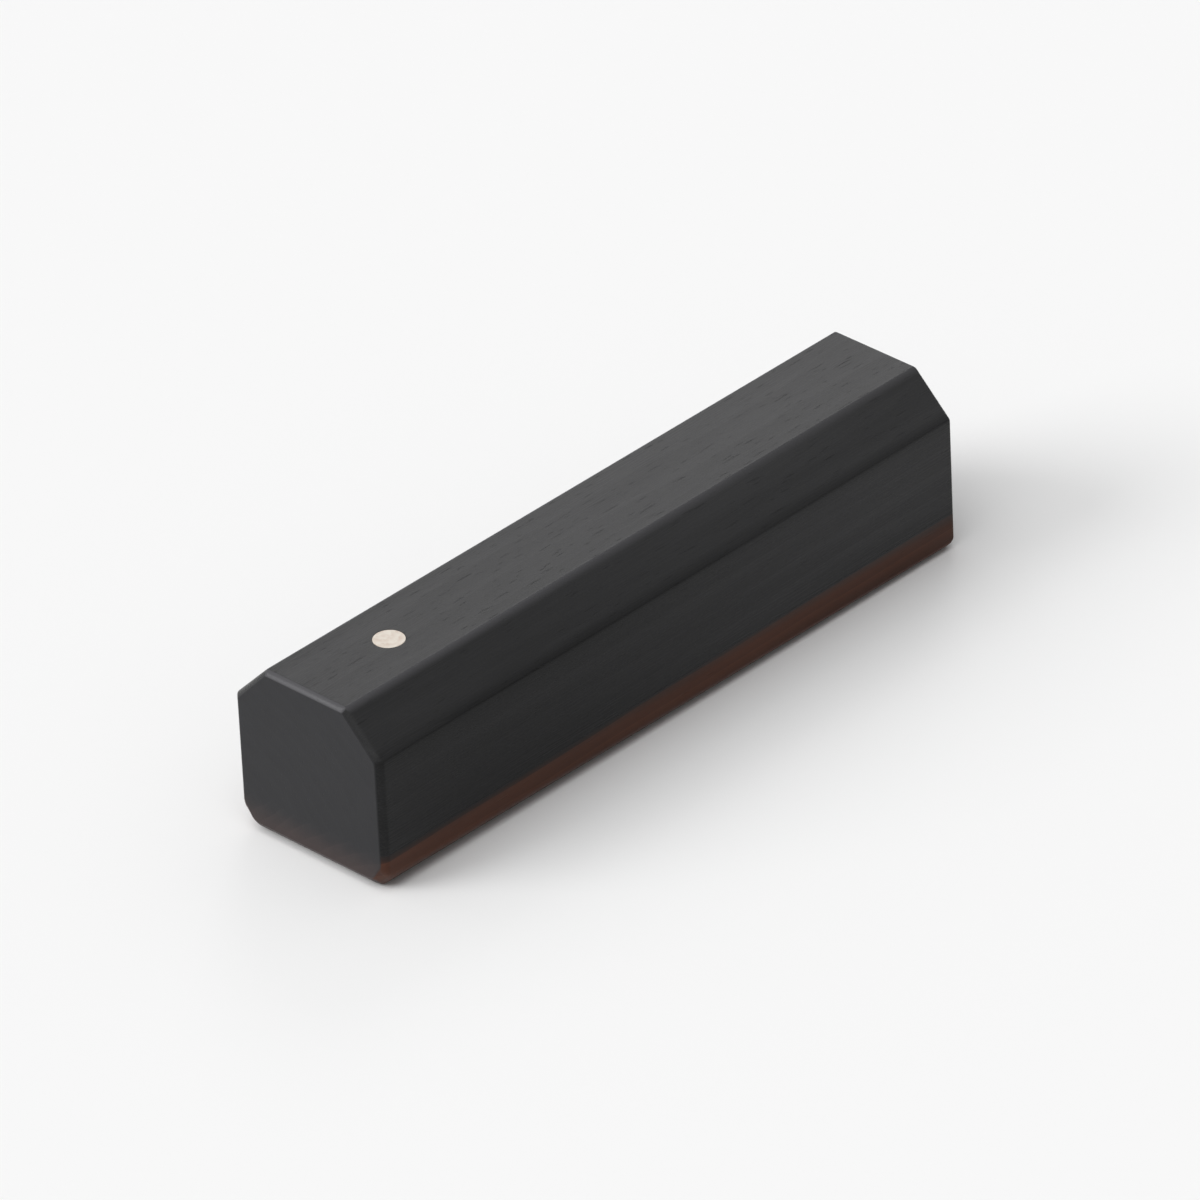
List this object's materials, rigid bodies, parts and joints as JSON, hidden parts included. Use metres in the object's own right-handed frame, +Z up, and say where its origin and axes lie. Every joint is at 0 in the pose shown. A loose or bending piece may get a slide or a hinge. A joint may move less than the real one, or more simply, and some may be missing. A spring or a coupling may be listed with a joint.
{
  "type": "chopstick rest",
  "caption": "Short bevelled bar of black wood with a flat top, on a thin brown wood sole, with a small pale pin inlaid near one end.",
  "frame": {"origin": "on the table, under the middle of the rest", "axes": "+Z up, +Y along the rest's length away from the diner and from the end with the inlaid pin, +X to the diner's right, along the sticks laid across it"},
  "size_m": [0.012, 0.05, 0.012],
  "materials": {
    "black_wood": "satin",
    "brown_wood": "satin",
    "pale_wood": "satin"
  },
  "bodies": {
    "root": {"body": "black_wood", "sole": "brown_wood", "inlay_pin": "pale_wood"}
  },
  "joints": []
}
